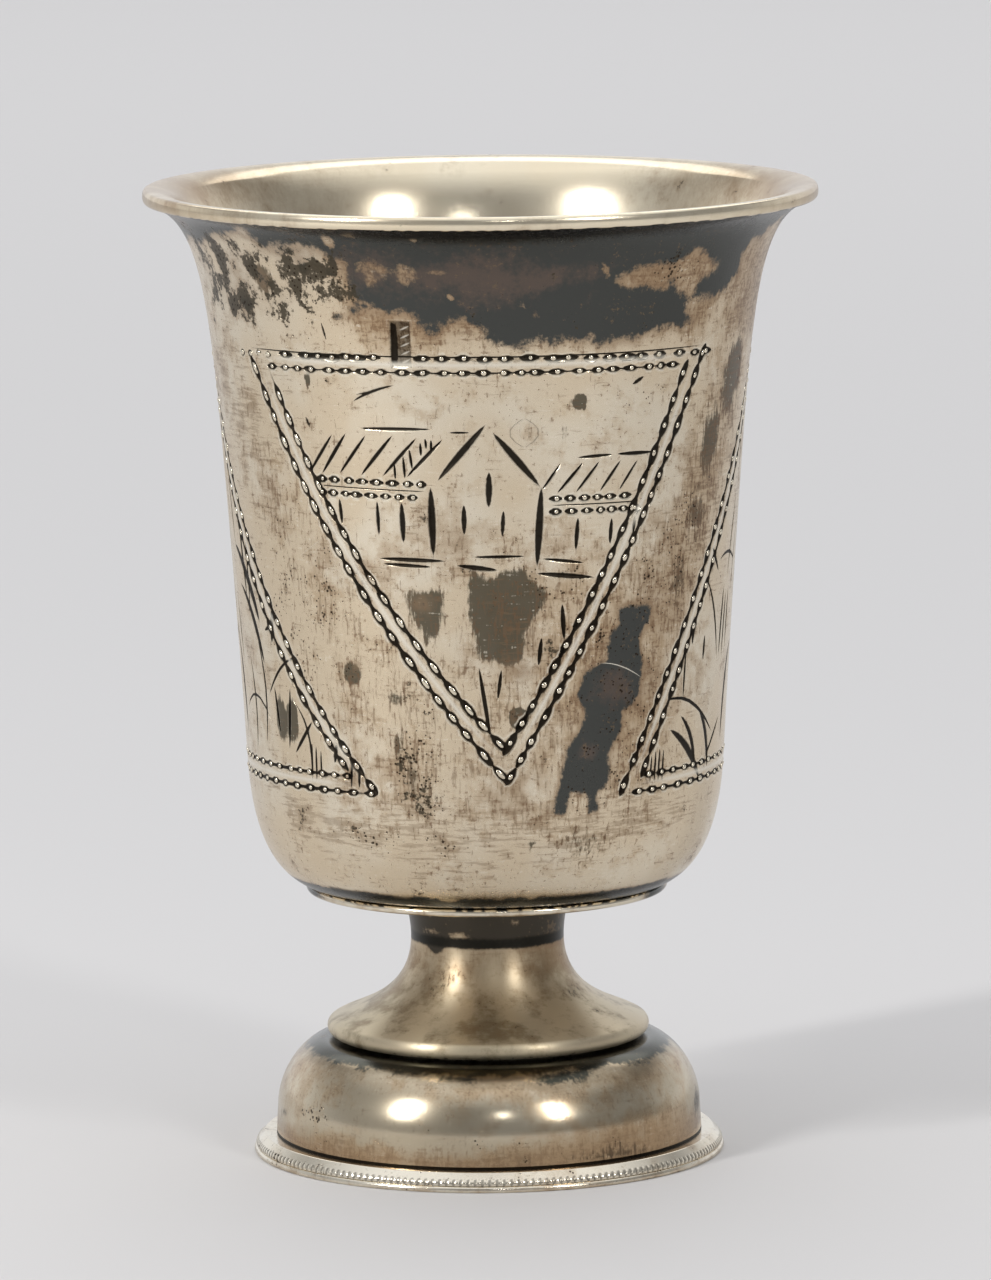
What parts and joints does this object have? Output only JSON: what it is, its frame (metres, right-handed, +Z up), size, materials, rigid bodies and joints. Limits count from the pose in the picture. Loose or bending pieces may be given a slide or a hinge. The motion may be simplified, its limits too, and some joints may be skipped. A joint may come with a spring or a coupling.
{
  "type": "footed kiddush cup",
  "caption": "Footed metal wine cup: beaker with an everted lip and engraved triangular panels, on a hollow spool stem and a domed foot with a milled rim.",
  "frame": {"origin": "centre of the foot's underside, on the surface that the cup stands on", "axes": "+Z up along the cup's axis, towards the lip; -Y is the front, with the leading village panel"},
  "size_m": [0.0656, 0.0656, 0.095],
  "materials": {
    "bowl_silver": "worn engraved silver with dark tarnish",
    "plate_silver": "worn silver",
    "stem_silver": "tarnished silver",
    "dome_silver": "polished, lightly tarnished silver",
    "rim_silver": "bright milled silver"
  },
  "bodies": {
    "root": {"bowl": "bowl_silver", "bowl_base_plate": "plate_silver", "stem": "stem_silver", "foot_dome": "dome_silver", "foot_rim": "rim_silver"}
  },
  "joints": []
}
